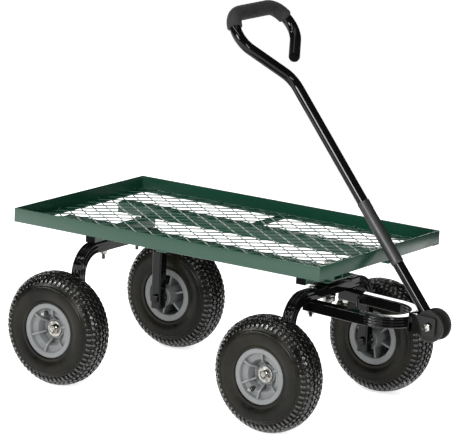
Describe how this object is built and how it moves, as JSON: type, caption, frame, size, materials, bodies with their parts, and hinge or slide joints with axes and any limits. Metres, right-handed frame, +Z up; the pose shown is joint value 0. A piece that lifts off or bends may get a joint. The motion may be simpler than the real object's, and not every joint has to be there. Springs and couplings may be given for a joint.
{
  "type": "garden cart",
  "caption": "Four-wheeled garden cart with an open mesh deck, steered front axle and folding pull handle with a foam-gripped hand loop.",
  "frame": {"origin": "on the ground under the middle of the whole cart's bounding box", "axes": "+X forward toward the pull handle, +Y to the cart's left, +Z up"},
  "size_m": [1, 0.538, 0.8804],
  "materials": {
    "side_rail_left": "satin green enamel",
    "side_rail_right": "satin green enamel",
    "front_rail": "satin green enamel",
    "rear_rail": "satin green enamel",
    "deck_mesh": "satin green enamel",
    "beam_left": "satin green enamel",
    "beam_right": "satin green enamel",
    "front_crossmember": "satin green enamel",
    "rear_crossmember": "satin green enamel",
    "mid_brace_left": "satin green enamel",
    "mid_brace_right": "satin green enamel",
    "crossmember_plugs": "matt black plastic",
    "rear_axle": "gloss black enamel",
    "rear_axle_bolts": "bright zinc plate",
    "rear_axle_nuts": "bright zinc plate",
    "rear_stub_bolts": "bright zinc plate",
    "rear_spacers": "bright zinc plate",
    "rear_hub_washers": "bright zinc plate",
    "rear_hub_nuts": "bright zinc plate",
    "upper_steering_plate": "satin green enamel",
    "swivel_ring": "matt black plastic",
    "kingpin": "bright zinc plate",
    "kingpin_nut": "bright zinc plate",
    "front_axle": "gloss black enamel",
    "lower_steering_plate": "gloss black enamel",
    "front_stub_bolts": "bright zinc plate",
    "front_spacers": "bright zinc plate",
    "front_hub_washers": "bright zinc plate",
    "front_hub_nuts": "bright zinc plate",
    "yoke": "gloss black enamel",
    "yoke_plugs": "matt black plastic",
    "yoke_bolts": "bright zinc plate",
    "yoke_nuts": "bright zinc plate",
    "yoke_pin": "gloss black enamel",
    "clevis": "gloss black enamel",
    "clevis_bolt": "bright zinc plate",
    "clevis_nut": "bright zinc plate",
    "pivot_discs": "matt black plastic",
    "handle_lower_tube": "gloss black enamel",
    "handle_spigot": "bright zinc plate",
    "handle_sleeve": "matt black rubber",
    "handle_upper_tube": "gloss black enamel",
    "handle_grip": "soft charcoal foam",
    "handle_end_plug": "matt black plastic",
    "tyre_front_left": "ribbed knobbly rubber",
    "rim_front_left": "moulded grey plastic",
    "bearings_front_left": "bright zinc plate",
    "valve_front_left": "black rubber",
    "tyre_front_right": "ribbed knobbly rubber",
    "rim_front_right": "moulded grey plastic",
    "bearings_front_right": "bright zinc plate",
    "valve_front_right": "black rubber",
    "tyre_rear_left": "ribbed knobbly rubber",
    "rim_rear_left": "moulded grey plastic",
    "bearings_rear_left": "bright zinc plate",
    "valve_rear_left": "black rubber",
    "tyre_rear_right": "ribbed knobbly rubber",
    "rim_rear_right": "moulded grey plastic",
    "bearings_rear_right": "bright zinc plate",
    "valve_rear_right": "black rubber"
  },
  "bodies": {
    "chassis": {"side_rail_left": "side_rail_left", "side_rail_right": "side_rail_right", "front_rail": "front_rail", "rear_rail": "rear_rail", "deck_mesh": "deck_mesh", "beam_left": "beam_left", "beam_right": "beam_right", "front_crossmember": "front_crossmember", "rear_crossmember": "rear_crossmember", "mid_brace_left": "mid_brace_left", "mid_brace_right": "mid_brace_right", "crossmember_plugs": "crossmember_plugs", "rear_axle": "rear_axle", "rear_axle_bolts": "rear_axle_bolts", "rear_axle_nuts": "rear_axle_nuts", "rear_stub_bolts": "rear_stub_bolts", "rear_spacers": "rear_spacers", "rear_hub_washers": "rear_hub_washers", "rear_hub_nuts": "rear_hub_nuts", "upper_steering_plate": "upper_steering_plate", "swivel_ring": "swivel_ring", "kingpin": "kingpin", "kingpin_nut": "kingpin_nut"},
    "steering": {"front_axle": "front_axle", "lower_steering_plate": "lower_steering_plate", "front_stub_bolts": "front_stub_bolts", "front_spacers": "front_spacers", "front_hub_washers": "front_hub_washers", "front_hub_nuts": "front_hub_nuts", "yoke": "yoke", "yoke_plugs": "yoke_plugs", "yoke_bolts": "yoke_bolts", "yoke_nuts": "yoke_nuts", "yoke_pin": "yoke_pin", "clevis": "clevis", "clevis_bolt": "clevis_bolt", "clevis_nut": "clevis_nut"},
    "handle": {"pivot_discs": "pivot_discs", "handle_lower_tube": "handle_lower_tube", "handle_spigot": "handle_spigot", "handle_sleeve": "handle_sleeve", "handle_upper_tube": "handle_upper_tube", "handle_grip": "handle_grip", "handle_end_plug": "handle_end_plug"},
    "wheel_front_left": {"tyre_front_left": "tyre_front_left", "rim_front_left": "rim_front_left", "bearings_front_left": "bearings_front_left", "valve_front_left": "valve_front_left"},
    "wheel_front_right": {"tyre_front_right": "tyre_front_right", "rim_front_right": "rim_front_right", "bearings_front_right": "bearings_front_right", "valve_front_right": "valve_front_right"},
    "wheel_rear_left": {"tyre_rear_left": "tyre_rear_left", "rim_rear_left": "rim_rear_left", "bearings_rear_left": "bearings_rear_left", "valve_rear_left": "valve_rear_left"},
    "wheel_rear_right": {"tyre_rear_right": "tyre_rear_right", "rim_rear_right": "rim_rear_right", "bearings_rear_right": "bearings_rear_right", "valve_rear_right": "valve_rear_right"}
  },
  "joints": [
    {"name": "steering", "type": "hinge", "parent": "chassis", "child": "steering", "pos_m": [0.197, 0, 0.26], "axis": [0, 0, 1], "range_deg": [-15, 15]},
    {"name": "handle_tilt", "type": "hinge", "parent": "steering", "child": "handle", "pos_m": [0.465, 0, 0.2422], "axis": [0, 1, 0], "range_deg": [0, 125]},
    {"name": "spin_front_left", "type": "hinge", "parent": "steering", "child": "wheel_front_left", "pos_m": [0.197, 0.226, 0.13], "axis": [0, 1, 0], "continuous": true},
    {"name": "spin_front_right", "type": "hinge", "parent": "steering", "child": "wheel_front_right", "pos_m": [0.197, -0.226, 0.13], "axis": [0, 1, 0], "continuous": true},
    {"name": "spin_rear_left", "type": "hinge", "parent": "chassis", "child": "wheel_rear_left", "pos_m": [-0.37, 0.226, 0.13], "axis": [0, 1, 0], "continuous": true},
    {"name": "spin_rear_right", "type": "hinge", "parent": "chassis", "child": "wheel_rear_right", "pos_m": [-0.37, -0.226, 0.13], "axis": [0, 1, 0], "continuous": true}
  ]
}
